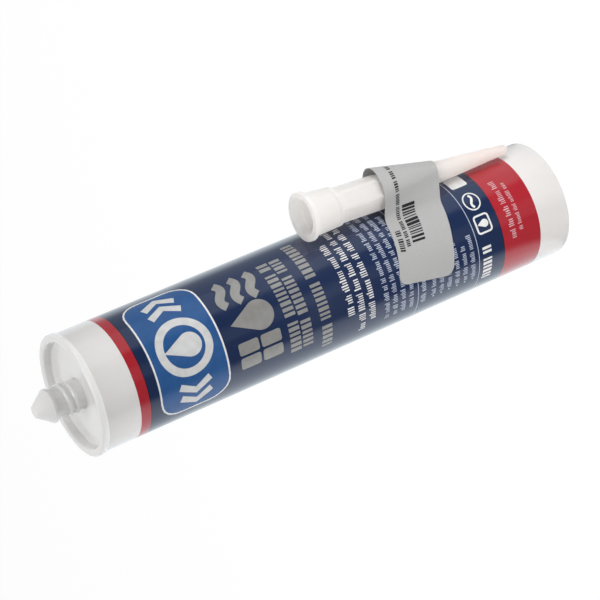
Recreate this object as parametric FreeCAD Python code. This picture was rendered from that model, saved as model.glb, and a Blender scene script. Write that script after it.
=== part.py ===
import FreeCAD, Part
import math
import os

# Sealant cartridge with its spare nozzle taped along the side.
# It stands on the open rear end of the barrel: +Z runs along the barrel to the front,
# and the origin is the centre of the rear rim. All sizes are in millimetres.

os.makedirs("parts", exist_ok=True)
Vector = FreeCAD.Vector

# Barrel: an extruded tube, printed outside, open at the rear
barrel_d = 50.0
barrel_wall = 1.75
barrel_length = 223.6
ram_mouth_length = 22.0       # stretch at the open end, widened so that the piston goes in
ram_mouth_widening = 0.2
ram_mouth_taper = 1.5
rear_edge_break = 0.4

# Head: moulded onto the front of the tube
rim_proud = 0.65              # the rim stands out this far round the tube
rim_height = 2.6
rim_width = 3.45
rim_round = 1.1
round_steps = 2               # conical steps that make the rim's outer edge; the inner has one
recess_depth = 3.8
head_floor = 2.0
spigot_length = 5.2           # plug behind the rim that centres the head in the tube
spigot_wall = 1.8
spigot_gap = 0.04

# Neck and closed tip of the head
neck_root_d = 12.6
neck_height = 12.7            # from the recess floor to the collar
neck_bore_d = 9.2
collar_d = 14.2
collar_height = 1.1
tip_height = 6.2
tip_end_d = 5.0
tip_round = 0.45
thread_pitch = 3.0
thread_height = 0.75
thread_root_width = 1.7
thread_start = 2.0            # above the recess floor
thread_turns = 2.5

# Piston
piston_height = 18.0
piston_gap = 0.1              # round the sealing lips
piston_wall = 1.5
piston_web = 2.2
piston_nose_height = 3.0
piston_nose_gap = 0.5         # between the nose and the head's spigot
lip_height = 2.4
lip_slope = 1.2               # length of the bevel before the lip
skirt_relief = 0.7
piston_ribs = 6
piston_rib_thickness = 1.2
piston_boss_d = 9.0

# Charge of sealant
charge_length = 177.1
charge_gap = 0.05             # keeps the paste clear of the solids round it

# Spare nozzle
nozzle_length = 101.7
flange_d = 20.8
flange_thickness = 2.0
socket_top_d = 18.4           # outside, under the flange
socket_end_d = 16.6
socket_length = 15.5
socket_bore_d = 14.8
socket_depth = 12.5
hub_corner_d = 15.4           # over the corners of the six-sided hub
hub_sides = 6
hub_phase = 18.0              # turn of its corners about the nozzle's axis, degrees
hub_length = 24.0
hub_run_out = 4.0             # over which its corners run out into the cone
hub_sink = 0.8                # into the socket, so that the two fuse
cone_d = 13.2
tip_d = 3.9
nozzle_wall = 1.3
nozzle_end_wall = 4.0

# Where the nozzle lies along the barrel
nozzle_azimuth = -33.3        # degrees about Z from +X
mouth_z = 113.85
lay_gap = 0.25
hub_clearance = 0.5           # under the hub, which the tip leans over

# Sticker that holds the nozzle on
sticker_thickness = 0.2
sticker_gap = 0.1
sticker_width = 26.5          # along Z, at the front end
sticker_front_z = 86.6        # forward edge, at the end stuck on the barrel's face
sticker_slant_near = 0.24     # slope of its edges over the barrel
sticker_slant_far = 0.30      # and over the nozzle
sticker_start_x = -13.2       # the middle of the end stuck on the barrel's face, seen along Y
sticker_end_skew = 0.17       # slope of that end
sticker_start_azimuth = -135.0
sticker_fall = 22.0           # how far its edges fall over its whole run
sticker_stuck_past = 20.0     # degrees of barrel that it covers past the nozzle
sticker_press_round = 5.0     # radius of the hollow bend where it leaves the barrel
sticker_free_span = 0.5       # straight run from that bend to the nozzle, at its front
sticker_press_steps = 4
sticker_nozzle_steps = 10     # short flats that the paper takes round the nozzle
sticker_slack_hub = 0.1       # past the corners at the end of the hub
sticker_slack_cone = 0.6      # at the sticker's rear edge
sticker_corner = 3.0

# Values worked out from the sizes above
barrel_r = barrel_d / 2
bore_r = barrel_r - barrel_wall
rim_r = barrel_r + rim_proud
recess_r = rim_r - rim_width
rim_z = barrel_length + rim_height
floor_z = rim_z - recess_depth
underside_z = floor_z - head_floor
spigot_end_z = barrel_length - spigot_length
spigot_r = bore_r - spigot_gap
spigot_bore_r = spigot_r - spigot_wall
collar_z = floor_z + neck_height
cone_z = collar_z + collar_height
head_tip_z = cone_z + tip_height
nose_z = underside_z - charge_length
nose_r = spigot_bore_r - piston_nose_gap
lip_r = bore_r - piston_gap
skirt_r = lip_r - skirt_relief
lip_front_z = nose_z - piston_nose_height
piston_rear_z = nose_z - piston_height


def revolve(profile):
    """Turn a closed profile of (radius, z) points about Z."""
    corners = [Vector(radius, 0, z) for radius, z in profile]
    face = Part.Face(Part.makePolygon(corners + corners[:1]))
    return face.revolve(Vector(0, 0, 0), Vector(0, 0, 1), 360)


def rounded(centre, radius, first, last, steps=round_steps):
    """The points of a rounded edge, from one angle to another in degrees."""
    points = []
    for step in range(steps + 1):
        angle = math.radians(first + (last - first) * step / steps)
        points.append((centre[0] + radius * math.cos(angle), centre[1] + radius * math.sin(angle)))
    return points


def tube_barrel():
    mouth_r = bore_r + ram_mouth_widening
    taper_z = ram_mouth_length + ram_mouth_taper
    return revolve([
        (mouth_r, 0),
        (barrel_r - rear_edge_break, 0),
        (barrel_r, rear_edge_break),
        (barrel_r, barrel_length),
        (bore_r, barrel_length),
        (bore_r, taper_z),
        (mouth_r, ram_mouth_length),
    ])


def thread_ridge(root_r, height, start_z):
    """One helical ridge, its foot sunk into the neck so that the two fuse."""
    sink = 0.25
    helix = Part.makeHelix(thread_pitch, thread_pitch * thread_turns, root_r)
    foot = thread_root_width / 2
    corners = [
        Vector(root_r - sink, 0, -foot),
        Vector(root_r, 0, -foot),
        Vector(root_r + height, 0, 0),
        Vector(root_r, 0, foot),
        Vector(root_r - sink, 0, foot),
    ]
    profile = Part.makePolygon(corners + corners[:1])
    ridge = Part.Wire(helix).makePipeShell([profile], True, True)
    ridge.translate(Vector(0, 0, start_z))
    return ridge


def moulded_head():
    neck_r = neck_root_d / 2
    bore = neck_bore_d / 2
    top = (rim_r - rim_round, rim_z - rim_round)
    inner = (recess_r + rim_round, rim_z - rim_round)
    tip_r = tip_end_d / 2
    tip_centre = (tip_r - tip_round, head_tip_z - tip_round)
    shell = revolve([
        (0, cone_z),
        (bore, cone_z),
        (bore, underside_z),
        (spigot_bore_r, underside_z),
        (spigot_bore_r, spigot_end_z),
        (spigot_r, spigot_end_z),
        (spigot_r, barrel_length),
        (rim_r, barrel_length),
        *rounded(top, rim_round, 0, 90),
        *rounded(inner, rim_round, 90, 180, 1),
        (recess_r, floor_z),
        (neck_r, floor_z),
        (neck_r, collar_z),
        (collar_d / 2, collar_z),
        (collar_d / 2, cone_z),
        *rounded(tip_centre, tip_round, 0, 90, 1),
        (0, head_tip_z),
    ])
    return shell.fuse(thread_ridge(neck_r, thread_height, floor_z + thread_start))


def piston():
    inner_r = skirt_r - piston_wall
    lip_rear_z = lip_front_z - lip_height
    web_z = lip_front_z - piston_web
    body = revolve([
        (0, web_z),
        (inner_r, web_z),
        (inner_r, piston_rear_z),
        (skirt_r, piston_rear_z),
        (skirt_r, lip_rear_z - skirt_relief),
        (lip_r, lip_rear_z),
        (lip_r, lip_front_z),
        (nose_r, lip_front_z + lip_slope),
        (nose_r, nose_z),
        (0, nose_z),
    ])
    rib_height = (web_z - piston_rear_z) * 0.55
    boss = Part.makeCylinder(piston_boss_d / 2, rib_height, Vector(0, 0, web_z - rib_height))
    ribs = [boss]
    for index in range(piston_ribs):
        rib = Part.makeBox(inner_r + piston_wall / 2, piston_rib_thickness, rib_height)
        rib.translate(Vector(0, -piston_rib_thickness / 2, web_z - rib_height))
        rib.rotate(Vector(0, 0, 0), Vector(0, 0, 1), index * 360 / piston_ribs)
        ribs.append(rib)
    return body.multiFuse(ribs).removeSplitter()


def charge():
    """The paste, from the piston's nose into the head's plug, clear of the solids round it."""
    radius = bore_r - charge_gap
    plug_r = spigot_bore_r - charge_gap
    return revolve([
        (0, nose_z + charge_gap),
        (radius, nose_z + charge_gap),
        (radius, spigot_end_z - charge_gap),
        (plug_r, spigot_end_z - charge_gap),
        (plug_r, underside_z - charge_gap),
        (0, underside_z - charge_gap),
    ])


# The nozzle is drawn from its mouth (z = 0) to its tip, then laid on the barrel
hub_end_z = socket_length + hub_length
hub_reach = flange_d / 2 - hub_corner_d / 2 - hub_clearance + lay_gap
nozzle_lean = math.asin(hub_reach / (hub_end_z - hub_run_out))
mouth_distance = barrel_r + lay_gap + flange_d / 2
wrap_front_z = sticker_front_z + sticker_width / 8
wrap_rear_z = sticker_front_z - sticker_width - sticker_fall


def spare_nozzle():
    bore_end_r = tip_d / 2 - nozzle_wall / 2
    throat_r = cone_d / 2 - nozzle_wall
    outer = revolve([
        (0, 0),
        (flange_d / 2, 0),
        (flange_d / 2, flange_thickness),
        (socket_top_d / 2, flange_thickness),
        (socket_end_d / 2, socket_length),
        (cone_d / 2, socket_length),
        (cone_d / 2, hub_end_z),
        (tip_d / 2, nozzle_length),
        (0, nozzle_length),
    ])
    inner = revolve([
        (0, 0),
        (socket_bore_d / 2, 0),
        (socket_bore_d / 2, socket_depth),
        (throat_r, socket_depth),
        (throat_r, hub_end_z),
        (bore_end_r, nozzle_length - nozzle_end_wall),
        (0, nozzle_length - nozzle_end_wall),
    ])
    return outer.fuse(six_sided_hub()).cut(inner)


def six_sided_hub():
    """The hub that fingers turn: a prism whose corners run out into the cone."""
    foot_z = socket_length - hub_sink
    corners = []
    for side in range(hub_sides + 1):
        turn = math.radians(hub_phase + side * 360 / hub_sides)
        corners.append(on_circle(Vector(0, 0, foot_z), hub_corner_d / 2, turn))
    prism = Part.Face(Part.makePolygon(corners)).extrude(Vector(0, 0, hub_end_z - foot_z))
    run_out = revolve([
        (0, foot_z),
        (hub_corner_d / 2, foot_z),
        (hub_corner_d / 2, hub_end_z - hub_run_out),
        (cone_d / 2, hub_end_z),
        (0, hub_end_z),
    ])
    return prism.common(run_out)


def lay_on_barrel(shape):
    """Turn the nozzle over so that its mouth faces the front, lean it and move it to its place."""
    laid = shape.copy()
    laid.rotate(Vector(0, 0, 0), Vector(1, 0, 0), 180)
    laid.rotate(Vector(0, 0, 0), Vector(0, 1, 0), math.degrees(nozzle_lean))
    laid.translate(Vector(mouth_distance, 0, mouth_z))
    laid.rotate(Vector(0, 0, 0), Vector(0, 0, 1), nozzle_azimuth)
    return laid


def nozzle_distance(z):
    """Distance of the nozzle's axis from the barrel's at a height."""
    return mouth_distance - (mouth_z - z) * math.tan(nozzle_lean)


def wrap_radius(z):
    """Radius of the paper round the nozzle: straight from the hub's end to the cone inside its rear edge."""
    hub_z = mouth_z - hub_end_z
    rear_z = sticker_front_z - sticker_width - sticker_slant_near * barrel_r
    share = (mouth_z - rear_z - hub_end_z) / (nozzle_length - hub_end_z)
    hub_r = hub_corner_d / 2 + sticker_slack_hub
    rear_r = cone_d / 2 + share * (tip_d / 2 - cone_d / 2) + sticker_slack_cone
    return hub_r + (z - hub_z) * (hub_r - rear_r) / (hub_z - rear_z)


def on_circle(centre, radius, angle):
    return Vector(centre.x + radius * math.cos(angle), centre.y + radius * math.sin(angle), centre.z)


def arc_about(centre, radius, first, last):
    """The edge from one angle to another about a centre, both in radians."""
    ends = [on_circle(centre, radius, angle) for angle in (first, (first + last) / 2, last)]
    return Part.Arc(*ends).toShape()


def flats(centre, radius, first, last, steps):
    """Short straight edges round a centre, from one angle to another in radians."""
    turns = [first + (last - first) * step / steps for step in range(steps + 1)]
    corners = [on_circle(centre, radius, turn) for turn in turns]
    return [Part.makeLine(*pair) for pair in zip(corners, corners[1:])]


def leaving_angle():
    """Azimuth where the paper leaves the barrel, in radians: its bend clears the nozzle at the front."""
    bend_distance = barrel_r + sticker_gap + sticker_press_round
    distance = nozzle_distance(wrap_front_z)
    apart = wrap_radius(wrap_front_z) + sticker_press_round + sticker_free_span
    cosine = (bend_distance ** 2 + distance ** 2 - apart ** 2) / (2 * bend_distance * distance)
    return math.radians(nozzle_azimuth) - math.acos(cosine)


def landing_angle():
    """Azimuth where it meets the barrel again, in radians: tangent to both at the rear."""
    reach = barrel_r + sticker_gap - wrap_radius(wrap_rear_z)
    return math.radians(nozzle_azimuth) + math.acos(reach / nozzle_distance(wrap_rear_z))


def wrap_path(z, offset):
    """The sticker's run round barrel and nozzle at one height, offset outwards."""
    axis = Vector(0, 0, z)
    nozzle = on_circle(axis, nozzle_distance(z), math.radians(nozzle_azimuth))
    around = wrap_radius(z)
    inner = barrel_r + sticker_gap
    leave = leaving_angle()
    hollow = on_circle(axis, inner + sticker_press_round, leave)
    gap = nozzle.sub(hollow)
    heading = math.atan2(gap.y, gap.x) - math.asin((around + sticker_press_round) / gap.Length)
    land = landing_angle()
    chord = nozzle.sub(on_circle(axis, inner, land))
    far = math.atan2(-chord.y, -chord.x) - math.acos(around / chord.Length)
    first = leave + math.pi
    last = (heading + math.pi / 2 - first) % (2 * math.pi) - 2 * math.pi + first
    near = (heading - math.pi / 2 - far) % (2 * math.pi) - 2 * math.pi + far
    pressed = flats(hollow, sticker_press_round - offset, first, last, sticker_press_steps)
    over = flats(nozzle, around + offset, near, far, sticker_nozzle_steps)
    landing = on_circle(axis, inner + offset, land)
    return [
        arc_about(axis, inner + offset, math.radians(sticker_start_azimuth), leave),
        *pressed,
        Part.makeLine(pressed[-1].lastVertex(True).Point, over[0].firstVertex(True).Point),
        *over,
        Part.makeLine(over[-1].lastVertex(True).Point, landing),
        arc_about(axis, inner + offset, land, land + math.radians(sticker_stuck_past)),
    ]


def wrap_section(z):
    """The closed outline of the sticker's thickness at one height."""
    inside = wrap_path(z, 0)
    outside = wrap_path(z, sticker_thickness)
    start = Part.makeLine(inside[0].firstVertex(True).Point, outside[0].firstVertex(True).Point)
    end = Part.makeLine(outside[-1].lastVertex(True).Point, inside[-1].lastVertex(True).Point)
    return Part.Wire(Part.__sortEdges__([start] + outside + [end] + inside[::-1]))


def sticker_outline():
    """The sticker's two slanted edges and its rounded end, seen along Y and cut right through."""
    far_x = mouth_distance + barrel_r
    deep = 3 * barrel_r
    bend_x = barrel_r / 2
    edges = []
    corners = []
    far_ends = []
    for front_z, side in ((sticker_front_z, 1), (sticker_front_z - sticker_width, -1)):
        near_x = sticker_start_x + side * sticker_end_skew * sticker_width / 2
        near = Vector(near_x, -deep, front_z - sticker_slant_near * (near_x - sticker_start_x))
        slant = Vector(1, 0, -sticker_slant_near).normalize()
        bend = near + slant * ((bend_x - near_x) / slant.x)
        far = Vector(far_x, -deep, bend.z - sticker_slant_far * (far_x - bend_x))
        start = near + slant * sticker_corner
        edges.append(Part.Arc(start, bend, far).toShape())
        corners.append((near, start))
        far_ends.append(far)
    end = (corners[1][0] - corners[0][0]).normalize()
    rounds = []
    for (corner, start), down in zip(corners, (end, end * -1)):
        finish = corner + down * sticker_corner
        inward = (start - corner) + (finish - corner)
        middle = corner + inward * (1 - math.sqrt(0.5))
        edges.append(Part.Arc(start, middle, finish).toShape())
        rounds.append(finish)
    edges.append(Part.makeLine(*rounds))
    edges.append(Part.makeLine(*far_ends))
    face = Part.Face(Part.Wire(Part.__sortEdges__(edges)))
    return face.extrude(Vector(0, 2 * deep, 0))


def sticker():
    sections = [wrap_section(wrap_front_z), wrap_section(wrap_rear_z)]
    return Part.makeLoft(sections, True, True).common(sticker_outline())


def export(name, shape):
    solids = shape.Solids
    if len(solids) == 1:
        shape = solids[0]
    shape.exportStep("parts/" + name + ".step")
    box = shape.BoundBox
    print(name, "solids", len(solids), "valid", shape.isValid(), "volume", round(shape.Volume, 1),
          "z", round(box.ZMin, 2), round(box.ZMax, 2), "triangles", len(shape.tessellate(0.1)[1]))


nozzle = lay_on_barrel(spare_nozzle())
export("barrel", tube_barrel())
export("head", moulded_head())
export("piston", piston())
export("sealant", charge())
export("spare_nozzle", nozzle)
export("sticker", sticker())
print("travel to the head", round(charge_length, 2), "nozzle lean", round(math.degrees(nozzle_lean), 2))
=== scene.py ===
import math
import random

import bmesh
import bpy
from mathutils import Matrix, Quaternion, Vector


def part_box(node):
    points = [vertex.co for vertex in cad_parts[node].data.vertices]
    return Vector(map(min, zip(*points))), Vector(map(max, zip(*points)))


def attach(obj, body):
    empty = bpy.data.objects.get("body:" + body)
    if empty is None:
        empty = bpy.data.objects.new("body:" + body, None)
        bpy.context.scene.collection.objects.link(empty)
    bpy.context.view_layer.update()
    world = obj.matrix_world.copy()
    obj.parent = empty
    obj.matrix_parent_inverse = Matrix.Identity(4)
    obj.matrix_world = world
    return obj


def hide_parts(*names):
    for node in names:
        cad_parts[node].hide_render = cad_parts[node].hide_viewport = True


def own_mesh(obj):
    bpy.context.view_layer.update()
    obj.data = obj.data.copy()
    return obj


# A sealant cartridge that stands on its open rear end, with a spare nozzle taped to its side.
# Sizes are in millimetres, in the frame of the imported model, and become metres where a mesh is made.

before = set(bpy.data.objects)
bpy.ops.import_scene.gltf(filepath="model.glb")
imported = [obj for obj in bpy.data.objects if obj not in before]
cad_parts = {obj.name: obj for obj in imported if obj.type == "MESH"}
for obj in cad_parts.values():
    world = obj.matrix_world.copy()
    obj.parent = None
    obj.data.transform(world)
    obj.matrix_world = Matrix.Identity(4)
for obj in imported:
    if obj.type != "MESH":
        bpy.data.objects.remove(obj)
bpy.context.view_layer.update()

MM = 0.001
CARTRIDGE = "cartridge"


def node_box(name):
    low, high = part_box(name)
    return low / MM, high / MM


# Barrel and its print, from the rear end up
barrel_low, barrel_high = node_box("barrel")
barrel_r = (barrel_high.x - barrel_low.x) / 2
barrel_length = barrel_high.z
barrel_wall = 1.75
mouth_widening = 0.2
mouth_length = 22.0
mouth_taper = 1.5
band_rear_z = 15.25
navy_rear_z = 34.3
navy_front_z = 204.75
band_front_z = 209.1
line_width = 0.35
band_waver = 0.12

# Head
head_low, head_high = node_box("head")
rim_r = (head_high.x - head_low.x) / 2
rim_height = 2.6
rim_width = 3.45
rim_rounding = 1.15
rim_z = barrel_length + rim_height
recess_r = rim_r - rim_width
recess_depth = 3.8
floor_z = rim_z - recess_depth
floor_thickness = 2.0
underside_z = floor_z - floor_thickness
spigot_end_z = head_low.z
spigot_play = 0.04
spigot_wall = 1.8
spigot_r = barrel_r - barrel_wall - spigot_play
spigot_bore_r = spigot_r - spigot_wall
neck_r = 6.3
neck_length = 12.7
neck_bore_r = 4.6
neck_foot = 0.35
collar_r = 7.1
collar_height = 1.1
collar_z = floor_z + neck_length
cone_z = collar_z + collar_height
tip_r = 2.5
head_tip_z = head_high.z
thread_pitch = 3.0
thread_height = 0.75
thread_start_z = floor_z + 2.0
thread_turns = 2.5
thread_half_width = 1.15
thread_run_out = 0.2
paste_gap = 0.05

# Spare nozzle, drawn from its mouth to its tip
nozzle_length = 101.7
flange_r = 10.4
flange_thickness = 2.0
socket_top_r = 9.2
socket_end_r = 8.3
socket_length = 15.5
socket_groove_z = 12.6
socket_groove = 0.35
socket_bore_r = 7.4
socket_depth = 12.5
socket_thread_height = 0.5
socket_thread_z = 2.4
hub_corner_r = 7.7
hub_sides = 6
hub_phase = math.radians(18.0)
hub_end_z = 39.5
hub_run_out = 4.0
hub_panel_depth = 0.3
hub_panel_share = 0.72
hub_panel_edge = 0.08
hub_panel_start = 1.6
hub_panel_end = 1.0
hub_corner_flat = 0.12
nozzle_cone_r = 6.6
nozzle_tip_r = 1.95
nozzle_wall = 1.3
nozzle_tip_floor = 4.0
# Height where the nozzle's painted warm glow is full; it stands in for the red band's light through the
# cone
nozzle_glow_full_z = 30.0
nozzle_azimuth = math.radians(-33.3)
nozzle_mouth_z = 113.85
hub_low_z = nozzle_mouth_z - hub_end_z
lay_gap = 0.25
hub_clearance = 0.5
nozzle_lean = math.asin(
    (flange_r - hub_corner_r - hub_clearance + lay_gap) / (hub_end_z - hub_run_out)
)
mouth_distance = barrel_r + lay_gap + flange_r

# Sticker
sticker_thickness = 0.2
sticker_gap = 0.1
sticker_width = 26.5
sticker_front_z = 86.6
sticker_slant_near = 0.24
sticker_slant_far = 0.30
sticker_start_x = -13.2
sticker_end_skew = 0.17
sticker_corner = 4.2
sticker_stuck_past = math.radians(20.0)
press_round = 5.0
free_span = 0.5
sticker_fall = 22.0
wrap_front_gap = 0.1
wrap_rear_gap = 0.6
# How far the front edge is drawn forward at the places that set its curve
sticker_flare = (1.2, 0.6, 13.0)
curl_height = 2.2
curl_middle = 0.75
curl_spread = 0.35
wrap_front_z = sticker_front_z + sticker_width / 8
wrap_rear_z = sticker_front_z - sticker_width - sticker_fall

# The sticker's print: distances from its stuck end, then from its rear edge
sticker_bars = (17.0, 33.4, 12.4, 18.4)
sticker_lines = ((16.0, 52.0, 19.6, 1.7, 82), (14.3, 24.8, 22.4, 2.4, 83))

# Camera, fitted to the photograph's view
camera_place = (15.2934, -882.6091, 528.4352)
camera_turn = (0.716174876, 1.10817871, -1.71377632)
camera_lens = 143.43

PANEL_LIFT = 0.02
RULE_LIFT = 0.025
PRINT_LIFT = 0.03
BADGE_LIFT = 0.045
PRINT_DEPTH = 0.03
PRINT_MIDDLE = math.radians(-90.0)


# Mesh helpers

def link(name, data):
    """A new object in the scene, with a mesh, a light or a camera."""
    thing = bpy.data.objects.new(name, data)
    bpy.context.scene.collection.objects.link(thing)
    return thing


def mesh_piece(name, shape):
    """A new piece with the mesh that was drawn in a bmesh."""
    mesh = bpy.data.meshes.new(name)
    shape.to_mesh(mesh)
    shape.free()
    return link(name, mesh)


def finish_piece(piece, material, body, smooth_angle=35.0):
    piece.data.materials.append(material)
    piece.data.shade_smooth()
    piece.data.set_sharp_from_angle(angle=math.radians(smooth_angle))
    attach(piece, body)
    return piece


def softened(corners, closed=False):
    """A profile of (radius, z, rounding) corners as points, each rounded corner as a short arc."""
    steps = 6
    most = 0.49
    points = []
    count = len(corners)
    for index, (radius, z, rounding) in enumerate(corners):
        here = Vector((radius, z))
        ends = not closed and index in (0, count - 1)
        if rounding == 0 or ends:
            points.append((radius, z))
            continue
        before = Vector(corners[index - 1][:2]) - here
        after = Vector(corners[(index + 1) % count][:2]) - here
        bend = before.angle(after)
        reach = min(rounding / math.tan(bend / 2), before.length * most, after.length * most)
        start = here + before.normalized() * reach
        end = here + after.normalized() * reach
        for step in range(steps + 1):
            t = step / steps
            spot = start * (1 - t) ** 2 + here * 2 * t * (1 - t) + end * t ** 2
            points.append((spot.x, spot.y))
    return points


def spread(start_z, end_z, spacing):
    """Heights from one to another at about the given spacing."""
    steps = max(1, round(abs(end_z - start_z) / spacing))
    return [start_z + (end_z - start_z) * step / steps for step in range(steps + 1)]


def lathe(name, rows, columns, closed, radius_at=None, start_angle=0.0):
    """Turn rows of (radius, z) about Z; radius_at may change a radius at an angle."""
    mesh_data = bmesh.new()
    rings = []
    for radius, z in rows:
        if radius == 0:
            rings.append([mesh_data.verts.new((0, 0, z * MM))])
            continue
        ring = []
        for column in range(columns):
            angle = start_angle + 2 * math.pi * column / columns
            r = radius_at(radius, z, angle) if radius_at else radius
            x, y = r * math.cos(angle), r * math.sin(angle)
            ring.append(mesh_data.verts.new((x * MM, y * MM, z * MM)))
        rings.append(ring)
    pairs = list(zip(rings, rings[1:]))
    if closed:
        pairs.append((rings[-1], rings[0]))
    for low, high in pairs:
        for column in range(columns):
            beside = (column + 1) % columns
            if len(low) == 1 and len(high) > 1:
                mesh_data.faces.new((low[0], high[beside], high[column]))
            elif len(high) == 1 and len(low) > 1:
                mesh_data.faces.new((low[column], low[beside], high[0]))
            elif len(low) > 1:
                mesh_data.faces.new((low[column], low[beside], high[beside], high[column]))
    bmesh.ops.recalc_face_normals(mesh_data, faces=mesh_data.faces[:])
    return mesh_piece(name, mesh_data)


def thicken(piece, thickness, offset):
    """Give a thin surface its thickness, applied to the mesh."""
    change = piece.modifiers.new("thickness", "SOLIDIFY")
    change.thickness = thickness * MM
    change.offset = offset
    graph = bpy.context.evaluated_depsgraph_get()
    mesh = bpy.data.meshes.new_from_object(piece.evaluated_get(graph))
    piece.modifiers.clear()
    piece.data = mesh
    return piece


# Materials

# Nearly all of a noise texture's values lie between these
NOISE_LOW = 0.3
NOISE_HIGH = 0.7


def srgb(red, green, blue):
    """A colour given as 0 to 255 on the screen, as the linear values that a shader takes."""
    levels = []
    for level in (red, green, blue):
        share = level / 255
        levels.append(share / 12.92 if share <= 0.04045 else ((share + 0.055) / 1.055) ** 2.4)
    return (*levels, 1.0)


def darker(colour, share):
    return (*(level * share for level in colour[:3]), 1.0)


def shader(name, colour, roughness, specular=0.5):
    material = bpy.data.materials.new(name)
    material.use_nodes = True
    surface = material.node_tree.nodes["Principled BSDF"]
    surface.inputs["Base Color"].default_value = colour
    surface.inputs["Roughness"].default_value = roughness
    surface.inputs["Specular IOR Level"].default_value = specular
    return material, material.node_tree.nodes, material.node_tree.links, surface


def feed(links, socket, value):
    """Link another node's output to a socket, or set the socket to a plain value."""
    if isinstance(value, bpy.types.NodeSocket):
        links.new(value, socket)
    else:
        socket.default_value = value


def math_node(nodes, links, operation, *values):
    node = nodes.new("ShaderNodeMath")
    node.operation = operation
    for socket, value in zip(node.inputs, values):
        feed(links, socket, value)
    return node.outputs["Value"]


def colour_mix(nodes, links, share, first, second, blend="MIX"):
    node = nodes.new("ShaderNodeMix")
    node.data_type = "RGBA"
    node.blend_type = blend
    feed(links, node.inputs["Factor"], share)
    feed(links, node.inputs["A"], first)
    feed(links, node.inputs["B"], second)
    return node.outputs["Result"]


def shader_mix(nodes, links, output, share, first, second):
    """Mix two shaders into the output node of a material or a world, given by its name."""
    node = nodes.new("ShaderNodeMixShader")
    feed(links, node.inputs["Fac"], share)
    links.new(first, node.inputs[1])
    links.new(second, node.inputs[2])
    links.new(node.outputs["Shader"], nodes[output].inputs["Surface"])


def map_range(nodes, links, value, *ends):
    """Map a value from one range, the first two ends, to another, the last two."""
    node = nodes.new("ShaderNodeMapRange")
    for name, end in zip(("From Min", "From Max", "To Min", "To Max"), ends):
        node.inputs[name].default_value = end
    links.new(value, node.inputs["Value"])
    return node.outputs["Result"]


def object_place(nodes):
    """The shaded point in the object's own space, in metres."""
    return nodes.new("ShaderNodeTexCoord").outputs["Object"]


def object_height(nodes, links):
    split = nodes.new("ShaderNodeSeparateXYZ")
    links.new(object_place(nodes), split.inputs["Vector"])
    return split.outputs["Z"]


def object_radius(nodes, links):
    """The shaded point's distance from the object's Z axis."""
    flat = nodes.new("ShaderNodeVectorMath")
    flat.operation = "MULTIPLY"
    flat.inputs[1].default_value = (1, 1, 0)
    links.new(object_place(nodes), flat.inputs[0])
    radius = nodes.new("ShaderNodeVectorMath")
    radius.operation = "LENGTH"
    links.new(flat.outputs["Vector"], radius.inputs[0])
    return radius.outputs["Value"]


def noise(nodes, links, scale, detail=3.0, stretch=None):
    """A noise texture in the object's own space, stretched along an axis where asked."""
    source = object_place(nodes)
    texture = nodes.new("ShaderNodeTexNoise")
    texture.inputs["Scale"].default_value = scale
    texture.inputs["Detail"].default_value = detail
    if stretch:
        mapping = nodes.new("ShaderNodeMapping")
        mapping.inputs["Scale"].default_value = stretch
        links.new(source, mapping.inputs["Vector"])
        source = mapping.outputs["Vector"]
    links.new(source, texture.inputs["Vector"])
    return texture.outputs["Fac"]


def spans(nodes, links, value, low, high):
    """Spread a noise value over a range."""
    return map_range(nodes, links, value, NOISE_LOW, NOISE_HIGH, low, high)


def tinted(nodes, links, value, dark, light):
    """A colour that varies between two with a noise value."""
    return colour_mix(nodes, links, spans(nodes, links, value, 0.0, 1.0), dark, light)


def bumped(nodes, links, surface, height, strength, distance):
    bump = nodes.new("ShaderNodeBump")
    bump.inputs["Strength"].default_value = strength
    bump.inputs["Distance"].default_value = distance * MM
    links.new(height, bump.inputs["Height"])
    links.new(bump.outputs["Normal"], surface.inputs["Normal"])


def coated(surface, weight, roughness):
    surface.inputs["Coat Weight"].default_value = weight
    surface.inputs["Coat Roughness"].default_value = roughness


def let_through(nodes, links, surface, colour, share):
    """Let a share of the light pass through a thin wall or sheet, scattered."""
    through = nodes.new("ShaderNodeBsdfTranslucent")
    through.inputs["Color"].default_value = colour
    shader_mix(nodes, links, "Material Output", share, surface.outputs["BSDF"], through.outputs["BSDF"])


def printed_tube():
    """The white tube with its printed bands: navy between two reds, thin black lines between them."""
    bare = srgb(231, 228, 226)
    red = srgb(172, 29, 43)
    black = srgb(22, 20, 34)
    navy = srgb(14, 36, 75)
    material, nodes, links, surface = shader("printed_tube", navy, 0.16)
    waver = noise(nodes, links, 220.0)
    height = object_height(nodes, links)
    height = math_node(nodes, links, "MULTIPLY_ADD", waver, band_waver * MM, height)
    bands = bare
    for start_z, colour in (
        (band_rear_z, red),
        (navy_rear_z - line_width, black),
        (navy_rear_z, navy),
        (navy_front_z - line_width, black),
        (navy_front_z, red),
        (band_front_z, bare),
    ):
        above = math_node(nodes, links, "GREATER_THAN", height, start_z * MM)
        bands = colour_mix(nodes, links, above, bands, colour)
    skin_r = barrel_r - barrel_wall / 3
    outside = math_node(nodes, links, "GREATER_THAN", object_radius(nodes, links), skin_r * MM)
    printed = colour_mix(nodes, links, outside, bare, bands)
    cloud = noise(nodes, links, 60.0, 4.0, (1, 1, 0.25))
    mottle = tinted(nodes, links, cloud, (0.9, 0.9, 0.9, 1), (1.0, 1.0, 1.0, 1))
    shade = colour_mix(nodes, links, 1.0, printed, mottle, "MULTIPLY")
    links.new(shade, surface.inputs["Base Color"])
    uneven = spans(nodes, links, noise(nodes, links, 90.0), 0.13, 0.19)
    links.new(uneven, surface.inputs["Roughness"])
    coated(surface, 0.6, 0.08)
    bumped(nodes, links, surface, noise(nodes, links, 700.0), 0.12, 0.05)
    return material


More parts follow.
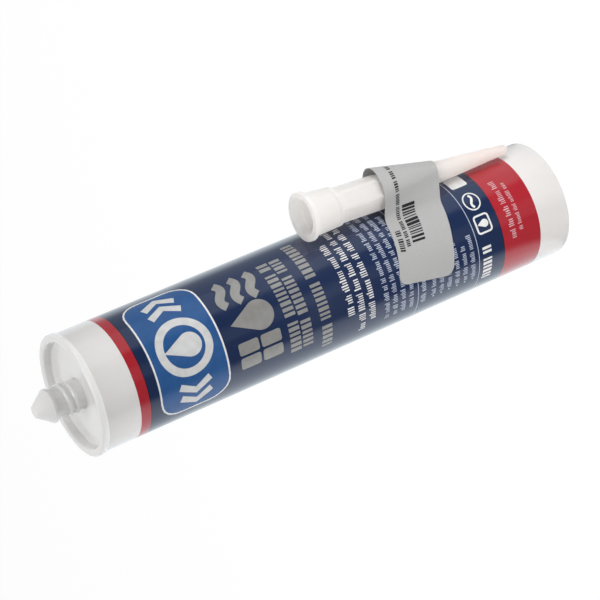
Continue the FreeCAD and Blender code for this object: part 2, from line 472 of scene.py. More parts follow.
def moulded_plastic(name, colour, roughness, glow, clear=0.0, wavy=0.05, coat=0.0):
    """Whitish plastic, faintly uneven, that glows inside and lets a clear share of the light through."""
    material, nodes, links, surface = shader(name, colour, roughness)
    cloud = noise(nodes, links, 45.0)
    links.new(tinted(nodes, links, cloud, darker(colour, 0.97), colour), surface.inputs["Base Color"])
    uneven = spans(nodes, links, noise(nodes, links, 160.0), roughness - 0.04, roughness + 0.04)
    links.new(uneven, surface.inputs["Roughness"])
    surface.inputs["Subsurface Weight"].default_value = glow
    surface.inputs["Subsurface Radius"].default_value = (1.0, 0.93, 0.88)
    surface.inputs["Subsurface Scale"].default_value = 2.5 * MM
    coated(surface, coat, 0.06)
    bumped(nodes, links, surface, noise(nodes, links, 150.0), wavy, 0.05)
    if clear:
        let_through(nodes, links, surface, colour, clear)
    return material


def painted_glow_along_cone(material, colour, start_z, end_z):
    """Tint a clear plastic towards a colour between two heights: a painted warm glow, which stands in for
    the red band's light passing through the nozzle's thin cone, so that the cone looks warmer.
    """
    nodes, links = material.node_tree.nodes, material.node_tree.links
    share = map_range(nodes, links, object_height(nodes, links), start_z * MM, end_z * MM, 0.0, 1.0)
    surface = nodes["Principled BSDF"]
    plain = surface.inputs["Base Color"].links[0].from_socket
    painted_glow = colour_mix(nodes, links, share, plain, colour)
    links.new(painted_glow, surface.inputs["Base Color"])
    links.new(painted_glow, nodes["Translucent BSDF"].inputs["Color"])


def paper():
    """Uncoated label paper: fibres, soft waves and no gloss, a little light passing through."""
    fibre_height = 0.001
    material, nodes, links, surface = shader("label_paper", srgb(200, 200, 200), 0.85, 0.2)
    fibre = noise(nodes, links, 2600.0, 4.0)
    cover = tinted(nodes, links, fibre, srgb(184, 184, 184), srgb(196, 196, 195))
    links.new(cover, surface.inputs["Base Color"])
    waves = noise(nodes, links, 62.0, 1.0, (1, 1, 0.5))
    height = math_node(nodes, links, "MULTIPLY_ADD", fibre, fibre_height, waves)
    bumped(nodes, links, surface, height, 0.7, 3.0)
    let_through(nodes, links, surface, srgb(215, 215, 213), 0.22)
    return material


def ink(name, colour, roughness=0.18, metal=0.0):
    """A printed ink, slightly uneven in cover."""
    material, nodes, links, surface = shader(name, colour, roughness)
    cover = tinted(nodes, links, noise(nodes, links, 380.0, 4.0), darker(colour, 0.86), colour)
    links.new(cover, surface.inputs["Base Color"])
    surface.inputs["Metallic"].default_value = metal
    return material


# Cartridge pieces

def make_barrel(material):
    bore_r = barrel_r - barrel_wall
    mouth_r = bore_r + mouth_widening
    corners = [
        (mouth_r, 0.0, 0.3),
        (barrel_r, 0.0, 0.4),
        (barrel_r, barrel_length, 0.1),
        (bore_r, barrel_length, 0.1),
        (bore_r, mouth_length + mouth_taper, 0.5),
        (mouth_r, mouth_length, 0.5),
    ]
    barrel = lathe("printed_barrel", softened(corners, closed=True), 256, True)
    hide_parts("barrel")
    return finish_piece(barrel, material, CARTRIDGE)


def thread_at(root, height, start_z, turns, inward=False):
    """How a thread's ridge changes a radius, by height and angle."""
    tolerance = 0.001

    def radius_at(radius, z, angle):
        if abs(radius - root) > tolerance:
            return radius
        turn = (z - start_z) / thread_pitch - angle / (2 * math.pi)
        nearest = round(turn)
        run = nearest + angle / (2 * math.pi)
        fade = min(max(run / thread_run_out, 0.0), max((turns - run) / thread_run_out, 0.0), 1.0)
        gap = min(abs(turn - nearest) * thread_pitch / thread_half_width, 1.0)
        rise = height * fade * (1 + math.cos(math.pi * gap)) / 2
        return radius - rise if inward else radius + rise

    return radius_at


def make_head(material):
    before_neck = softened([
        (0.0, cone_z, 0),
        (neck_bore_r, cone_z, 0.3),
        (neck_bore_r, underside_z, 0.4),
        (spigot_bore_r, underside_z, 0.4),
        (spigot_bore_r, spigot_end_z, 0.3),
        (spigot_r, spigot_end_z, 0.3),
        (spigot_r, barrel_length, 0.0),
        (rim_r, barrel_length, 0.25),
        (rim_r, rim_z, rim_rounding),
        (recess_r, rim_z, rim_rounding),
        (recess_r, floor_z, 0.7),
        (neck_r + 1.6, floor_z, 0.0),
        (neck_r + neck_foot, floor_z, 0.0),
    ])
    foot = [(neck_r + 0.1, floor_z + 0.12), (neck_r, floor_z + neck_foot)]
    neck = [(neck_r, z) for z in spread(floor_z + neck_foot + 0.1, collar_z - 0.1, 0.13)]
    after_neck = softened([
        (neck_r, collar_z, 0),
        (collar_r, collar_z, 0.25),
        (collar_r, cone_z, 0.35),
        (tip_r, head_tip_z, 0.5),
        (0.0, head_tip_z, 0),
    ])
    rows = before_neck + foot + neck + after_neck
    ridge = thread_at(neck_r, thread_height, thread_start_z, thread_turns)
    head = lathe("moulded_head", rows, 192, False, ridge)
    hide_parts("head")
    return finish_piece(head, material, CARTRIDGE, 50.0)


def make_paste(material):
    low, high = node_box("sealant")
    radius = (high.x - low.x) / 2
    plug_r = spigot_bore_r - paste_gap
    plug_foot_z = spigot_end_z - paste_gap
    corners = [
        (0.0, low.z, 0),
        (radius, low.z, 0.6),
        (radius, plug_foot_z, 0.3),
        (plug_r, plug_foot_z, 0.1),
        (plug_r, high.z, 0.6),
        (0.0, high.z, 0),
    ]
    paste = lathe("paste_charge", softened(corners), 96, False)
    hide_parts("sealant")
    finish_piece(paste, material, CARTRIDGE)
    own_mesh(paste)
    return paste


def nozzle_place():
    """From the nozzle's own axis, mouth at zero, to where it lies on the barrel."""
    over = Matrix.Rotation(math.pi, 4, "X")
    lean = Matrix.Rotation(nozzle_lean, 4, "Y")
    shift = Matrix.Translation((mouth_distance * MM, 0, nozzle_mouth_z * MM))
    turn = Matrix.Rotation(nozzle_azimuth, 4, "Z")
    return turn @ shift @ lean @ over


def make_nozzle(material):
    throat_r = nozzle_cone_r - nozzle_wall
    hub_foot_z = socket_length
    tip_bore_r = nozzle_tip_r - nozzle_wall / 2
    mouth = softened([
        (throat_r, socket_depth, 0),
        (socket_bore_r, socket_depth, 0.4),
        (socket_bore_r, socket_depth - 0.8, 0),
    ])
    thread = [(socket_bore_r, z) for z in spread(socket_depth - 1.0, 1.4, 0.17)]
    outside = softened([
        (socket_bore_r, 1.2, 0),
        (socket_bore_r + 0.5, 0.0, 0.35),
        (flange_r, 0.0, 0.55),
        (flange_r, flange_thickness, 0.55),
        (socket_top_r, flange_thickness + 0.3, 0.6),
        (socket_end_r + 0.2, socket_groove_z, 0.3),
        (socket_end_r + 0.15 - socket_groove, socket_groove_z + 0.3, 0.3),
        (socket_end_r + 0.1 - socket_groove, socket_groove_z + 1.0, 0.3),
        (socket_end_r + 0.05, socket_groove_z + 1.3, 0.3),
        (socket_end_r, socket_length - 0.05, 0.4),
        (nozzle_cone_r, hub_foot_z, 0),
    ])
    hub = [(nozzle_cone_r, z) for z in spread(hub_foot_z + 0.2, hub_end_z, 0.5)]
    cone = softened([
        (nozzle_cone_r - 0.01, hub_end_z + 0.2, 0),
        (nozzle_tip_r, nozzle_length, 0.4),
        (0.0, nozzle_length, 0),
    ])
    inside = [
        (0.0, nozzle_length - nozzle_tip_floor),
        (tip_bore_r, nozzle_length - nozzle_tip_floor),
        (throat_r, hub_end_z),
        (throat_r, socket_depth + 0.4),
    ]
    half_side = math.pi / hub_sides
    thread_in = thread_at(
        socket_bore_r, socket_thread_height, socket_thread_z, thread_turns, inward=True
    )

    def radius_at(radius, z, angle):
        if radius == nozzle_cone_r and hub_foot_z <= z <= hub_end_z:
            turn = (angle - hub_phase) % (2 * half_side) - half_side
            side_r = hub_corner_r * math.cos(half_side) / math.cos(turn)
            rounded = min(side_r, hub_corner_r - hub_corner_flat)
            left = (hub_end_z - z) / hub_run_out
            limit = nozzle_cone_r + (hub_corner_r - nozzle_cone_r) * min(1.0, max(0.0, left))
            side_share = (hub_panel_share - abs(turn) / half_side) / hub_panel_edge
            above = z - hub_foot_z - hub_panel_start
            below = hub_end_z - hub_run_out - hub_panel_end - z
            end_share = min(above, below)
            sink = hub_panel_depth * min(1.0, max(0.0, side_share)) * min(1.0, max(0.0, end_share))
            return max(nozzle_cone_r - hub_panel_depth, min(rounded, limit) - sink)
        return thread_in(radius, z, angle)

    rows = mouth + thread + outside + hub + cone
    body = lathe("nozzle_shell", inside + rows, 192, False, radius_at, hub_phase)
    body.data.transform(nozzle_place())
    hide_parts("spare_nozzle")
    return finish_piece(body, material, CARTRIDGE, 28.0)


# Sticker

def nozzle_distance(z):
    """How far the nozzle's axis is from the tube's at a height."""
    return mouth_distance - (nozzle_mouth_z - z) * math.tan(nozzle_lean)


def wrap_radius(z):
    """The radius that the paper has round the nozzle at a height."""
    rear_z = sticker_front_z - sticker_width - sticker_slant_near * barrel_r
    share = (nozzle_mouth_z - rear_z - hub_end_z) / (nozzle_length - hub_end_z)
    front_r = hub_corner_r + wrap_front_gap
    rear_r = nozzle_cone_r + share * (nozzle_tip_r - nozzle_cone_r) + wrap_rear_gap
    return front_r + (z - hub_low_z) * (front_r - rear_r) / (hub_low_z - rear_z)


def leaving_angle():
    bend_distance = barrel_r + sticker_gap + press_round
    distance = nozzle_distance(wrap_front_z)
    apart = wrap_radius(wrap_front_z) + press_round + free_span
    cosine = (bend_distance ** 2 + distance ** 2 - apart ** 2) / (2 * bend_distance * distance)
    return nozzle_azimuth - math.acos(cosine)


def landing_angle():
    reach = barrel_r + sticker_gap - wrap_radius(wrap_rear_z)
    return nozzle_azimuth + math.acos(reach / nozzle_distance(wrap_rear_z))


def polar(radius, angle, centre=(0.0, 0.0)):
    return Vector((centre[0] + radius * math.cos(angle), centre[1] + radius * math.sin(angle)))


def wrap_spot(stretch, share, z, start):
    """Where the sticker is at a height: one of its six stretches, and the share run along it."""
    centre = polar(nozzle_distance(z), nozzle_azimuth)
    around = wrap_radius(z)
    inner = barrel_r + sticker_gap
    leave = leaving_angle()
    hollow = polar(inner + press_round, leave)
    gap = centre - hollow
    heading = math.atan2(gap.y, gap.x) - math.asin((around + press_round) / gap.length)
    land = landing_angle()
    landing = polar(inner, land)
    chord = centre - landing
    far = math.atan2(-chord.y, -chord.x) - math.acos(around / chord.length)
    first = leave + math.pi
    last = (heading + math.pi / 2 - first) % (2 * math.pi) - 2 * math.pi + first
    near = (heading - math.pi / 2 - far) % (2 * math.pi) - 2 * math.pi + far
    if stretch == 0:
        return polar(inner, start + (leave - start) * share)
    if stretch == 1:
        return polar(press_round, first + (last - first) * share, hollow)
    if stretch == 2:
        return polar(press_round, last, hollow).lerp(polar(around, near, centre), share)
    if stretch == 3:
        return polar(around, near + (far - near) * share, centre)
    if stretch == 4:
        return polar(around, far, centre).lerp(landing, share)
    return polar(inner, land + sticker_stuck_past * share)


def edge_z(x, front):
    """Height of the sticker's front or rear edge at an x: the front one flares over the nozzle."""
    bend_x = barrel_r / 2
    far_x = mouth_distance + barrel_r
    base = sticker_front_z - (0.0 if front else sticker_width)
    knots = [(sticker_start_x, base),
             (bend_x, base - sticker_slant_near * (bend_x - sticker_start_x))]
    knots.append((far_x, knots[1][1] - sticker_slant_far * (far_x - bend_x)))
    if front:
        knots = [(x, z + more) for (x, z), more in zip(knots, sticker_flare)]
    total = 0.0
    for index, (here, height) in enumerate(knots):
        weight = 1.0
        for other, (there, _) in enumerate(knots):
            if other != index:
                weight *= (x - there) / (here - there)
        total += weight * height
    return total


def end_angle(z, across):
    """Azimuth of the sticker's stuck end, with its two corners rounded."""
    middle = sticker_front_z - sticker_width / 2
    x = sticker_start_x + sticker_end_skew * (z - middle)
    inset = 0.0
    for edge in ((1 - across) * sticker_width, across * sticker_width):
        if edge < sticker_corner:
            short = sticker_corner - edge
            inset = sticker_corner - math.sqrt(max(sticker_corner ** 2 - short ** 2, 0.0))
    return -math.acos(x / (barrel_r + sticker_gap)) + inset / barrel_r


# Mesh steps along each of the six stretches
STRETCH_STEPS = (44, 14, 6, 40, 24, 16)


def sticker_spot(stretch, share, across):
    """A point of the sticker's surface, across being 0 at its rear edge and 1 at its front."""
    tries = 14
    settle = 0.7
    z = sticker_front_z - sticker_width / 2
    for _ in range(tries):
        start = end_angle(z, across)
        spot = wrap_spot(stretch, share, z, start)
        rear = edge_z(spot.x, False)
        front = edge_z(spot.x, True)
        z += settle * (rear + (front - rear) * across - z)
    return Vector((spot.x, spot.y, z))


def sticker_lift(stretch, share, across):
    """How far the paper stands off the nozzle: its front edge curls up over the far side."""
    if stretch not in (2, 3, 4):
        return 0.0
    along = {2: 0.0, 3: share, 4: 1.0 + share}[stretch]
    return curl_height * across * math.exp(-((along - curl_middle) / curl_spread) ** 2)


def paper_spot(stretch, share, across):
    """A point of the paper's inner face, its curl included."""
    spot = sticker_spot(stretch, share, across)
    centre = polar(nozzle_distance(spot.z), nozzle_azimuth)
    out = Vector((spot.x - centre.x, spot.y - centre.y, 0)).normalized()
    return spot + out * sticker_lift(stretch, share, across)


def paper_run():
    """Where the paper's middle line is after each distance run: (distance, stretch, share)."""
    run = 0.0
    before = None
    stops = []
    for stretch, steps in enumerate(STRETCH_STEPS):
        for step in range(steps + 1):
            spot = paper_spot(stretch, step / steps, 0.5)
            if before:
                run += (spot - before).length
            stops.append((run, stretch, step / steps))
            before = spot
    return stops


def print_on_paper(name, outlines, material):
    """Lay flat outlines, as (distance from the stuck end, distance from the rear edge), on the paper."""
    stops = paper_run()

    def place(distance, from_rear):
        for (low, _, first), (high, stretch, second) in zip(stops, stops[1:]):
            if distance <= high and high > low:
                share = first + (second - first) * (distance - low) / (high - low)
                return paper_spot(stretch, share, from_rear / sticker_width)
        return paper_spot(stops[-1][1], 1.0, from_rear / sticker_width)

    mesh_data = bmesh.new()
    step = 0.05
    for outline in outlines:
        corners = []
        for distance, from_rear in outline:
            spot = place(distance, from_rear)
            along = place(distance + step, from_rear) - spot
            across = place(distance, from_rear + step) - spot
            out = along.cross(across).normalized()
            corners.append(mesh_data.verts.new((spot + out * (sticker_thickness + PRINT_LIFT)) * MM))
        mesh_data.faces.new(corners)
    piece = mesh_piece(name, mesh_data)
    thicken(piece, PRINT_DEPTH, -1.0)
    return finish_piece(piece, material, CARTRIDGE, 60.0)


def make_sticker_print(material):
    """Dark bars and small lines of blocks, which stand for a shop's price label."""
    distance, end, low, high = sticker_bars
    draw = random.Random(5)
    bars = []
    while distance < end:
        width = draw.choice((0.45, 0.6, 1.0, 1.4))
        bars.append(box_outline(distance, distance + width, low, high))
        distance += width + draw.choice((0.35, 0.5, 0.75))
    print_on_paper("sticker_bars", bars, material)
    print_on_paper("sticker_lines", block_lines(sticker_lines, large_thin, caps=True), material)


def make_sticker(material):
    """The paper: stuck down, pressed in beside the nozzle, laid over it and stuck down again."""
    rows = 40
    stations = []
    for stretch, steps in enumerate(STRETCH_STEPS):
        for step in range(steps + (1 if stretch == len(STRETCH_STEPS) - 1 else 0)):
            stations.append((stretch, step / steps))
    mesh_data = bmesh.new()
    grid = []
    for stretch, share in stations:
        line = []
        for row in range(rows + 1):
            across = (1 - math.cos(math.pi * row / rows)) / 2
            line.append(mesh_data.verts.new(paper_spot(stretch, share, across) * MM))
        grid.append(line)
    for here, there in zip(grid, grid[1:]):
        for row in range(rows):
            mesh_data.faces.new((here[row], there[row], there[row + 1], here[row + 1]))
    sticker = mesh_piece("wrap_sticker", mesh_data)
    thicken(sticker, sticker_thickness, 1.0)
    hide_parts("sticker")
    return finish_piece(sticker, material, CARTRIDGE, 60.0)


# Print on the barrel, drawn flat as (distance round the barrel, height) and wrapped on it.
# A line of blocks is given by its ends, the height of its foot, its own height and a seed; a box by its
# left, right, low and high sides; a ring by its radius and width; a drop by its radius and height.

badge_box = (-27.0, 29.0, 169.0, 199.5)
badge_corner = 9.0
badge_line_gap = 0.6
badge_line_width = 0.75
badge_middle = (1.0, 184.2)
badge_ring = (12.0, 3.3)
badge_drop_z = 181.7
badge_drop = (4.9, 11.6)
chevron_place = 15.2
chevron_spacing = 5.4
chevron_depth = 3.6
chevron_rise = 6.8
chevron_width = 3.0

silver_z = 143.6
pane_left = -18.4
pane_size = (5.2, 9.2)
pane_spacing = (6.3, 10.3)
pane_corner = 1.0
silver_drop = (6.2, 13.4)
wave_ends = (8.6, 20.0)
wave_foot = 3.0
wave_spacing = 7.0
wave_swing = 1.5
wave_width = 3.8
silver_lines = (
    (-20.5, 22.5, 135.2, 4.9, 11),
    (-20.0, 21.8, 129.6, 4.7, 12),
    (-25.2, 28.0, 120.3, 4.8, 13),
)
bold_lines = (
    (-15.0, 18.4, 109.2, 3.1, 21),
    (-25.0, 27.2, 104.2, 3.1, 22),
    (-21.0, 24.6, 99.3, 3.1, 23),
)
small_left = -24.4
small_lines = (
    (small_left, 27.0, 92.4, 2.4, 31),
    (small_left, 25.0, 88.4, 2.4, 32),
    (small_left, 28.0, 84.4, 2.4, 33),
    (small_left, 23.0, 80.4, 2.4, 34),
    (small_left, -6.0, 74.2, 2.6, 41),
)
list_left = -22.4
list_rights = (-10.0, -8.0, -11.0, -3.0, -5.0, -1.0)
list_top_z = 69.2
list_spacing = 4.0
list_height = 2.3
dot_x = -23.6
dot_r = 0.45
rule_places = (77.9, 46.9)
rule_width = 0.3
mark_line = (-26.5, -9.0, 40.6, 4.4, 61)
mark_box = (-5.0, 3.2, 37.6, 45.2, 1.6)
mark_box_line = 0.8
mark_drop = ((-0.9, 40.6), 1.7, 3.6)
mark_disc = ((9.6, 41.4), 4.3, 3.9)
mark_disc_line = 0.6
mark_wave = (6.6, 12.6, 41.4, 0.7, 24)
mark_wave_width = 1.1
mark_panel = (18.0, 25.6, 37.4, 45.2, 1.0)
band_lines = (
    (-12.0, 14.4, 27.4, 2.7, 71),
    (-9.6, 12.0, 23.6, 2.0, 72),
)

back_left = 44.0
back_right = 108.0
back_heading = (back_left, back_right - 16.0, 186.0, 5.2, 91)
back_top_z = 178.0
back_spacing = 4.0
back_title = (26.0, 2.6)
back_height = 2.1
# Each paragraph's count of lines, and how far its last one ends before the margin
back_paragraphs = ((5, 18.0), (4, 30.0), (6, 9.0), (4, 24.0), (3, 36.0))
back_boxes = (
    (back_left, back_left + 28.0, 38.0, 45.5, 1.2),
    (back_left + 34.0, back_right, 38.0, 45.5, 1.2),
)
back_box_line = 0.5

# How much narrower than usual the blocks are
large_thin = 0.8
text_thin = 0.42
back_thin = 0.6

# A line's blocks, as shares of its height
BLOCK_WIDTHS = (0.24, 0.46)
BLOCK_GAP = 0.17
WORD_GAP = 0.38
BLOCK_TOPS = (0.74, 0.74, 0.74, 1.0, 1.0)
LAST_BLOCK = 0.6


def box_outline(left, right, low, high, corner=0.0):
    corner = min(corner, (right - left) / 2, (high - low) / 2)
    if corner <= 0:
        return [(left, low), (right, low), (right, high), (left, high)]
    outline = []
    for centre_x, centre_z, first in (
        (right - corner, low + corner, -90), (right - corner, high - corner, 0),
        (left + corner, high - corner, 90), (left + corner, low + corner, 180),
    ):
        for step in range(7):
            angle = math.radians(first + 15 * step)
            outline.append((centre_x + corner * math.cos(angle), centre_z + corner * math.sin(angle)))
    return outline


def disc_outline(centre, radius_x, radius_z, steps=64):
    x, z = centre
    turns = [2 * math.pi * step / steps for step in range(steps)]
    return [(x + radius_x * math.cos(turn), z + radius_z * math.sin(turn)) for turn in turns]


def drop_outline(centre, radius, height):
    """A drop: a round foot drawn up to a point."""
    outline = [(centre[0], centre[1] + height)]
    lean = math.acos(radius / height)
    for step in range(49):
        turn = math.pi / 2 + lean + (2 * math.pi - 2 * lean) * step / 48
        outline.append((centre[0] + radius * math.cos(turn), centre[1] + radius * math.sin(turn)))
    return outline


def stroke_outline(points, width):
    """The outline of an open line of a given width."""
    left, right = [], []
    for index, here in enumerate(points):
        before = Vector(points[max(index - 1, 0)])
        after = Vector(points[min(index + 1, len(points) - 1)])
        run = (after - before).normalized()
        side = Vector((-run.y, run.x)) * width / 2
        left.append(tuple(Vector(here) + side))
        right.append(tuple(Vector(here) - side))
    return left + right[::-1]


def ring_outlines(outline, width):
    """Short quads that make a closed line of a given width along an outline."""
    count = len(outline)
    inner = []
    for index in range(count):
        here = Vector(outline[index])
        run = (Vector(outline[(index + 1) % count]) - Vector(outline[index - 1])).normalized()
        inner.append(tuple(here + Vector((-run.y, run.x)) * width))
    pieces = []
    for index in range(count):
        beside = (index + 1) % count
        pieces.append([outline[index], outline[beside], inner[beside], inner[index]])
    return pieces


def wrap_print(name, outlines, material, lift=PRINT_LIFT):
    """Lay flat outlines on the barrel as thin ink."""
    flat = bmesh.new()
    for outline in outlines:
        flat.faces.new([flat.verts.new((x, 0.0, z)) for x, z in outline])
    bmesh.ops.remove_doubles(flat, verts=flat.verts[:], dist=0.0005)
    reach = [vertex.co.x for vertex in flat.verts]
    cut = 0.8
    for step in range(math.ceil(min(reach) / cut), math.floor(max(reach) / cut) + 1):
        whole = flat.verts[:] + flat.edges[:] + flat.faces[:]
        bmesh.ops.bisect_plane(flat, geom=whole, plane_co=(step * cut, 0, 0), plane_no=(1, 0, 0))
    bmesh.ops.triangulate(flat, faces=flat.faces[:])
    for vertex in flat.verts:
        angle = PRINT_MIDDLE + vertex.co.x / barrel_r
        radius = barrel_r + lift
        vertex.co = Vector((radius * math.cos(angle), radius * math.sin(angle), vertex.co.z)) * MM
    flat.normal_update()
    for face in flat.faces:
        middle = face.calc_center_median()
        if face.normal.x * middle.x + face.normal.y * middle.y < 0:
            face.normal_flip()
    piece = mesh_piece(name, flat)
    thicken(piece, PRINT_DEPTH, -1.0)
    return finish_piece(piece, material, CARTRIDGE, 60.0)


def word_blocks(left, right, low, height, seed, thin, caps=False):
    """A line of print as plain blocks: groups of upright blocks with spaces between, no letters."""
    draw = random.Random(seed)
    blocks = []
    x = left
    while x < right - height * LAST_BLOCK:
        for _ in range(draw.randint(3, 9)):
            width = height * draw.uniform(*BLOCK_WIDTHS) * thin
            if x + width > right:
                break
            top = low + height * (1.0 if caps else draw.choice(BLOCK_TOPS))
            blocks.append(box_outline(x, x + width, low, top))
            x += width + height * BLOCK_GAP
        x += height * WORD_GAP
    return blocks


def block_lines(lines, thin, caps=False):
    blocks = []
    for line in lines:
        blocks += word_blocks(*line, thin, caps)
    return blocks


def wave(left, right, middle, swing, steps=72):
    """The points of one full wave."""
    points = []
    for step in range(steps + 1):
        share = step / steps
        rise = swing * math.sin(2 * math.pi * share)
        points.append((left + (right - left) * share, middle + rise))
    return points


def make_badge(blue, white, grey):
    """The large mark near the front: a blue panel in a white line, with a ring, a drop and chevrons."""
    left, right, low, high = badge_box
    gap = badge_line_gap
    panel = box_outline(left, right, low, high, badge_corner)
    border = box_outline(left - gap, right + gap, low - gap, high + gap, badge_corner + gap)
    wrap_print("print_badge_panel", [panel], blue, PANEL_LIFT)
    wrap_print("print_badge_line", ring_outlines(border, badge_line_width), white)
    middle_x, middle_z = badge_middle
    ring_r, ring_width = badge_ring
    shapes = ring_outlines(disc_outline(badge_middle, ring_r, ring_r), ring_width)
    shapes.append(drop_outline((middle_x, badge_drop_z), *badge_drop))
    for side in (-1, 1):
        for index in range(2):
            x = middle_x + side * (chevron_place + chevron_spacing * index)
            foot = (x, middle_z - chevron_rise)
            point = (x + side * chevron_depth, middle_z)
            top = (x, middle_z + chevron_rise)
            shapes.append(stroke_outline([foot, point, top], chevron_width))
    wrap_print("print_badge_shapes", shapes, grey, BADGE_LIFT)


def make_silver(silver):
    """Three big silver pictograms and lines of silver blocks under them."""
    shapes = []
    pane_width, pane_height = pane_size
    for column in range(2):
        for row in range(2):
            x = pane_left + pane_spacing[0] * column
            z = silver_z + pane_spacing[1] * row
            shapes.append(box_outline(x, x + pane_width, z, z + pane_height, pane_corner))
    radius, height = silver_drop
    shapes.append(drop_outline((badge_middle[0], silver_z + radius), radius, height))
    for index in range(3):
        z = silver_z + wave_foot + wave_spacing * index
        shapes.append(stroke_outline(wave(*wave_ends, z, wave_swing), wave_width))
    wrap_print("print_silver_shapes", shapes, silver)
    wrap_print("print_silver_lines", block_lines(silver_lines, large_thin, caps=True), silver)


def make_text(white, pale):
    """Lines of white and pale blocks, a list with dots, and thin rules round the barrel."""
    wrap_print("print_white_lines", block_lines(bold_lines, text_thin), white)
    small = block_lines(small_lines, text_thin)
    for index, right in enumerate(list_rights):
        z = list_top_z - list_spacing * index
        small.append(disc_outline((dot_x, z + 1.0), dot_r, dot_r, 16))
        small += word_blocks(list_left, right, z, list_height, 51 + index, text_thin)
    wrap_print("print_small_lines", small, pale)
    half_turn = math.pi * barrel_r
    rules = [box_outline(-half_turn, half_turn, z, z + rule_width) for z in rule_places]
    wrap_print("print_rules", rules, pale, RULE_LIFT)


def make_marks(white):
    """A row of plain marks near the rear: blocks, a drop in a box, a wave in a disc and a panel."""
    marks = word_blocks(*mark_line, large_thin, caps=True)
    marks += ring_outlines(box_outline(*mark_box), mark_box_line)
    marks.append(drop_outline(*mark_drop))
    marks += ring_outlines(disc_outline(*mark_disc), mark_disc_line)
    marks.append(stroke_outline(wave(*mark_wave), mark_wave_width))
    marks.append(box_outline(*mark_panel))
    wrap_print("print_marks", marks, white)


def line_end(paragraph, line):
    """How far a line of the back print ends before the margin."""
    return random.Random(200 + 10 * paragraph + line).uniform(0.0, 6.0)


def make_back_lines(white, pale):
    """The side away from the nozzle, as plain blocks: a heading, short paragraphs and two boxes."""
    wrap_print("print_back_heading", word_blocks(*back_heading, large_thin, caps=True), white)
    title_width, title_height = back_title
    small = []
    z = back_top_z
    for index, (lines, short) in enumerate(back_paragraphs):
        title = (back_left, back_left + title_width, z, title_height, 101 + index)
        small += word_blocks(*title, back_thin, caps=True)
        for line in range(lines):
            z -= back_spacing
            end = back_right - (short if line == lines - 1 else line_end(index, line))
            small += word_blocks(back_left, end, z, back_height, 111 + 10 * index + line, back_thin)
        z -= 2 * back_spacing
    wrap_print("print_back_lines", small, pale)
    boxes = []
    for box in back_boxes:
        boxes += ring_outlines(box_outline(*box), back_box_line)
    wrap_print("print_back_boxes", boxes, white)


# Staging

FLOOR_WHITE = 0.93
FLOOR_GREY = 0.8
FLOOR_SHADE = 0.12
WORLD_FILL = 0.32

# Bearings round the tube in degrees, and how white the floor is there in a reflection
STUDIO_LEVELS = (
    (-165, 0.9), (-148, 0.08), (-112, 0.08), (-106, 0.28), (-89, 0.24), (-82, 0.08), (-60, 0.08),
    (-50, 0.64), (-14, 0.64), (-8, 0.42), (28, 0.42), (48, 0.95), (90, 1.0), (180, 1.0),
)
STUDIO_TINT = (0.88, 0.96, 1.0)

# Bearing and elevation in degrees; distance, height aimed at, width and height in metres; power in watts;
# and whether gloss shows the lamp
LAMPS = (
    ("key_lamp", -36.0, 6.0, 0.315, 0.002, 0.34, 0.06, 0.49, False),
    ("fill_lamp", -115.0, 6.0, 0.315, 0.002, 0.34, 0.06, 0.36, False),
    ("top_lamp", -70.0, 80.0, 1.0, 0.23, 0.6, 0.6, 4.4, True),
    ("front_lamp", -48.0, 12.0, 0.45, 0.236, 0.2, 0.08, 0.25, False),
    ("side_lamp", 165.0, 8.0, 0.5, 0.0, 0.4, 0.24, 1.1, False),
)


def path_gate(nodes, links):
    """1 for rays that should see the plain white background."""
    rays = nodes.new("ShaderNodeLightPath")
    total = rays.outputs["Is Camera Ray"]
    for name in ("Is Glossy Ray", "Is Transmission Ray"):
        total = math_node(nodes, links, "MAXIMUM", total, rays.outputs[name])
    return total


def studio_level(nodes, links):
    """The floor's glow: plain white for the camera, shaped by STUDIO_LEVELS in gloss."""
    around = nodes.new("ShaderNodeTexGradient")
    around.gradient_type = "RADIAL"
    links.new(object_place(nodes), around.inputs["Vector"])
    levels = nodes.new("ShaderNodeValToRGB")
    levels.color_ramp.interpolation = "EASE"
    ramp = levels.color_ramp.elements
    ramp.remove(ramp[1])
    ramp[0].position = 0.0
    ramp[0].color = (1, 1, 1, 1)
    for bearing, level in STUDIO_LEVELS:
        stop = ramp.new((bearing + 180) / 360)
        stop.color = (*(level * share for share in STUDIO_TINT), 1)
    links.new(around.outputs["Fac"], levels.inputs["Fac"])
    rays = nodes.new("ShaderNodeLightPath")
    white = (FLOOR_WHITE, FLOOR_WHITE, FLOOR_WHITE, 1)
    return colour_mix(nodes, links, rays.outputs["Is Camera Ray"], levels.outputs["Color"], white)


def diffuse(nodes, level):
    surface = nodes.new("ShaderNodeBsdfDiffuse")
    surface.inputs["Color"].default_value = (level, level, level, 1)
    return surface.outputs["BSDF"]


def make_floor():
    """A floor that bounces light as a plain one does, and looks white to the camera and in gloss."""
    bpy.ops.mesh.primitive_plane_add(size=8.0, location=(0, 0, 0))
    floor = bpy.context.active_object
    floor.name = "studio_floor"
    material = bpy.data.materials.new("studio_white")
    material.use_nodes = True
    nodes, links = material.node_tree.nodes, material.node_tree.links
    nodes.remove(nodes["Principled BSDF"])
    glow = nodes.new("ShaderNodeEmission")
    links.new(studio_level(nodes, links), glow.inputs["Color"])
    both = nodes.new("ShaderNodeAddShader")
    links.new(diffuse(nodes, FLOOR_SHADE), both.inputs[0])
    links.new(glow.outputs["Emission"], both.inputs[1])
    plain = diffuse(nodes, FLOOR_GREY)
    gate = path_gate(nodes, links)
    shader_mix(nodes, links, "Material Output", gate, plain, both.outputs["Shader"])
    floor.data.materials.append(material)


def background(nodes, level):
    light = nodes.new("ShaderNodeBackground")
    light.inputs["Color"].default_value = (1, 1, 1, 1)
    light.inputs["Strength"].default_value = level
    return light.outputs["Background"]


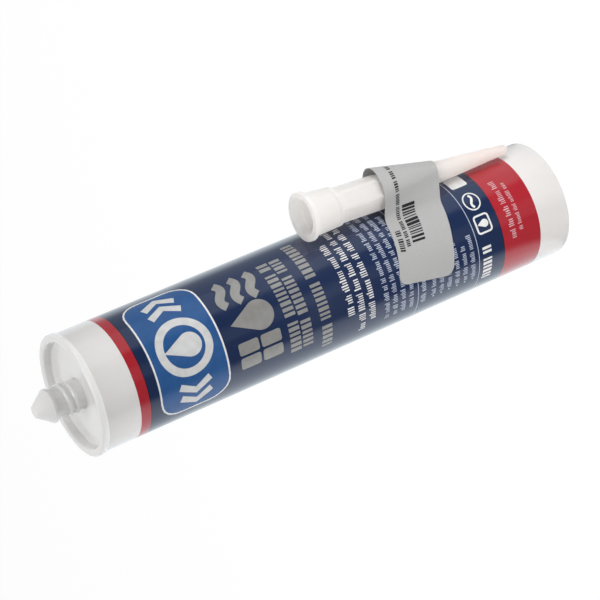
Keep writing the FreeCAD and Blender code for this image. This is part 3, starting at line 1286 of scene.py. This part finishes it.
def make_world():
    """White all round, and dimmer where it lights the object."""
    world = bpy.data.worlds.new("studio_world")
    bpy.context.scene.world = world
    world.use_nodes = True
    nodes, links = world.node_tree.nodes, world.node_tree.links
    nodes.remove(nodes["Background"])
    gate = path_gate(nodes, links)
    shader_mix(nodes, links, "World Output", gate, background(nodes, WORLD_FILL), background(nodes, 1.0))


def make_lamp(name, bearing, elevation, distance, target_z, width, height, power, glossy):
    """A soft rectangular lamp aimed at a point of the tube's axis."""
    target = Vector((0, 0, target_z))
    turn = math.radians(bearing)
    tilt = math.radians(elevation)
    reach = Vector((math.cos(turn) * math.cos(tilt), math.sin(turn) * math.cos(tilt), math.sin(tilt)))
    light = bpy.data.lights.new(name, "AREA")
    light.shape = "RECTANGLE"
    light.size = width
    light.size_y = height
    light.energy = power
    lamp = link(name, light)
    lamp.location = target + reach * distance
    lamp.visible_camera = False
    lamp.visible_glossy = glossy
    lamp.rotation_mode = "QUATERNION"
    lamp.rotation_quaternion = reach.to_track_quat("Z", "Y")


def make_camera():
    camera_data = bpy.data.cameras.new("photo_camera")
    camera_data.lens = camera_lens
    camera_data.sensor_width = 36.0
    camera_data.clip_start = 0.05
    camera_data.clip_end = 30.0
    camera = link("photo_camera", camera_data)
    turn = Vector(camera_turn)
    camera.rotation_mode = "QUATERNION"
    camera.rotation_quaternion = Quaternion(turn.normalized(), turn.length)
    camera.location = Vector(camera_place) * MM
    bpy.context.scene.camera = camera


bpy.context.scene.view_settings.view_transform = "Standard"

tube_material = printed_tube()
head_material = moulded_plastic(
    "head_plastic", srgb(242, 241, 240), roughness=0.2, glow=0.35, wavy=0.4, coat=0.6
)
nozzle_material = moulded_plastic(
    "nozzle_plastic", srgb(254, 252, 250), roughness=0.3, glow=0.5, clear=0.58
)
# Painted warm glow on the nozzle's cone towards its tip, standing in for the red band's light passing
# through it
painted_glow_along_cone(nozzle_material, srgb(255, 250, 247), hub_low_z, nozzle_glow_full_z)
piston_material = moulded_plastic("piston_plastic", srgb(226, 226, 224), roughness=0.4, glow=0.2)
paste_material = moulded_plastic("sealant_paste", srgb(236, 236, 230), roughness=0.5, glow=0.3)

make_barrel(tube_material)
make_head(head_material)
make_paste(paste_material)
make_nozzle(nozzle_material)
make_sticker(paper())
make_sticker_print(ink("ink_black", srgb(24, 24, 27), 0.55))

white_ink = ink("ink_white", srgb(232, 232, 232))
pale_ink = ink("ink_pale", srgb(184, 193, 211))
silver_ink = ink("ink_silver", srgb(156, 155, 152), 0.3, 0.3)
blue_ink = ink("ink_blue", srgb(38, 86, 144))
grey_ink = ink("ink_grey", srgb(212, 213, 212))
band_ink = ink("ink_band", srgb(216, 176, 181))
make_badge(blue_ink, white_ink, grey_ink)
make_silver(silver_ink)
make_text(white_ink, pale_ink)
make_marks(white_ink)
wrap_print("print_band_lines", block_lines(band_lines, text_thin), band_ink)
make_back_lines(white_ink, pale_ink)

piston_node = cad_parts["piston"]
piston_node.data.materials.clear()
piston_node.data.materials.append(piston_material)

make_floor()
make_world()
for lamp in LAMPS:
    make_lamp(*lamp)
make_camera()
